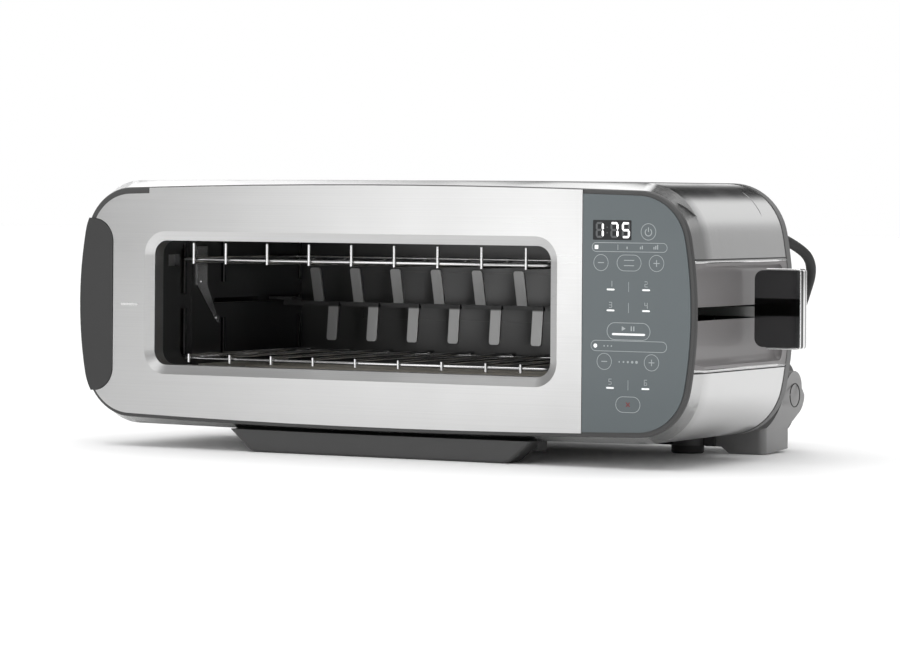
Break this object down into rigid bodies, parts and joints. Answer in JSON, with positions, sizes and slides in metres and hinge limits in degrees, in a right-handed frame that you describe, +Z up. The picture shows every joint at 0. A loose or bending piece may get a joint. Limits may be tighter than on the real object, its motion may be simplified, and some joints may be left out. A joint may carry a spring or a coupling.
{
  "type": "flip-up toaster grill",
  "caption": "Countertop toaster grill: a wide flat slot oven with wire guards and a lever carriage, on a hinged rear stand that lets it flip up on end.",
  "frame": {"origin": "middle of the flat underside of the front foot, on the surface that the grill stands on", "axes": "+X to the right seen from the front, +Y towards the back, +Z up"},
  "size_m": [0.5131, 0.3945, 0.1854],
  "materials": {
    "dark_frame": "satin dark grey moulded plastic",
    "brushed_steel": "fine horizontal brushed grain",
    "dark_grip": "satin dark grey",
    "control_glass": "smooth gloss teal-grey control face",
    "circuit_board": "green board",
    "side_plastic": "satin warm grey",
    "rim_plastic": "satin mid grey",
    "screw_steel": "plain turned steel",
    "foot_rubber": "matt black rubber",
    "liner_steel": "dark heat-resistant coated sheet",
    "tray_aluminium": "bright aluminised sheet",
    "guard_chrome": "polished wire and strip",
    "frame_steel": "plain galvanised sheet",
    "heater_glass": "milky quartz tube",
    "heater_ceramic": "unglazed ceramic",
    "slider_plastic": "black engineering plastic",
    "lever_gloss": "gloss black",
    "lever_chrome": "bright plated trim",
    "stand_plastic": "satin grey",
    "cord_rubber": "black flexible cord cover",
    "cord_tie_plastic": "black strap",
    "plug_plastic": "black moulded plug",
    "plug_brass": "bright pins"
  },
  "bodies": {
    "housing": {"front_bezel": "dark_frame", "front_panel": "brushed_steel", "left_grip": "dark_grip", "control_glass": "control_glass", "control_board": "circuit_board", "top_wrap": "brushed_steel", "bottom_wrap": "brushed_steel", "right_side_panel": "side_plastic", "left_side_panel": "side_plastic", "rear_rim": "rim_plastic", "rear_cover": "dark_frame", "rear_cover_screws": "screw_steel", "rear_feet": "foot_rubber", "tray_rails": "liner_steel", "mouth_collar": "liner_steel", "cavity_liner": "liner_steel", "wall_strap": "guard_chrome", "right_side_frame": "frame_steel", "left_side_frame": "frame_steel", "guide_rod": "screw_steel", "upper_heaters": "heater_glass", "lower_heaters": "heater_glass", "heater_holders": "heater_ceramic", "upper_reflector": "tray_aluminium", "lower_reflector": "tray_aluminium", "latch_magnet": "frame_steel", "main_board": "circuit_board", "front_foot": "dark_frame", "foot_bracket": "dark_frame", "hinge_ears": "dark_frame", "hinge_pins": "screw_steel", "cord_gland": "dark_frame", "strain_relief": "cord_rubber", "mains_cord": "cord_rubber", "cord_coil": "cord_rubber", "cord_tie": "cord_tie_plastic", "cord_tail": "cord_rubber", "plug_body": "plug_plastic", "plug_pins": "plug_brass"},
    "stand": {"stand_bracket_right": "stand_plastic", "stand_bracket_left": "stand_plastic", "pivot_caps": "stand_plastic", "stand_crossbar": "dark_frame", "stand_feet": "foot_rubber"},
    "carriage": {"bread_carriage": "frame_steel", "upper_fingers": "frame_steel", "lower_fingers": "frame_steel", "carriage_slider": "slider_plastic", "lever_arm": "frame_steel", "lever_paddle": "lever_gloss", "lever_trim": "lever_chrome"},
    "upper_wire_guard": {"upper_guard": "guard_chrome"},
    "lower_wire_guard": {"lower_guard": "guard_chrome"},
    "tray": {"crumb_tray": "tray_aluminium"}
  },
  "joints": [
    {"name": "flip_hinge", "type": "hinge", "parent": "housing", "child": "stand", "pos_m": [0, 0.1975, 0.0395], "axis": [1, 0, 0], "range_deg": [0, 90]},
    {"name": "lever_slide", "type": "slide", "parent": "housing", "child": "carriage", "axis": [0, -1, 0], "range_m": [0, 0.072]},
    {"name": "upper_guard_slide", "type": "slide", "parent": "housing", "child": "upper_wire_guard", "axis": [0, 0, -1], "range_m": [0, 0.016]},
    {"name": "lower_guard_slide", "type": "slide", "parent": "housing", "child": "lower_wire_guard", "axis": [0, 0, 1], "range_m": [0, 0.016]},
    {"name": "tray_slide", "type": "slide", "parent": "housing", "child": "tray", "axis": [0, 0, 1], "range_m": [0, 0.12]}
  ],
  "couplings": [
    {"joint": "lower_guard_slide", "follows": "upper_guard_slide", "ratio": 1}
  ]
}
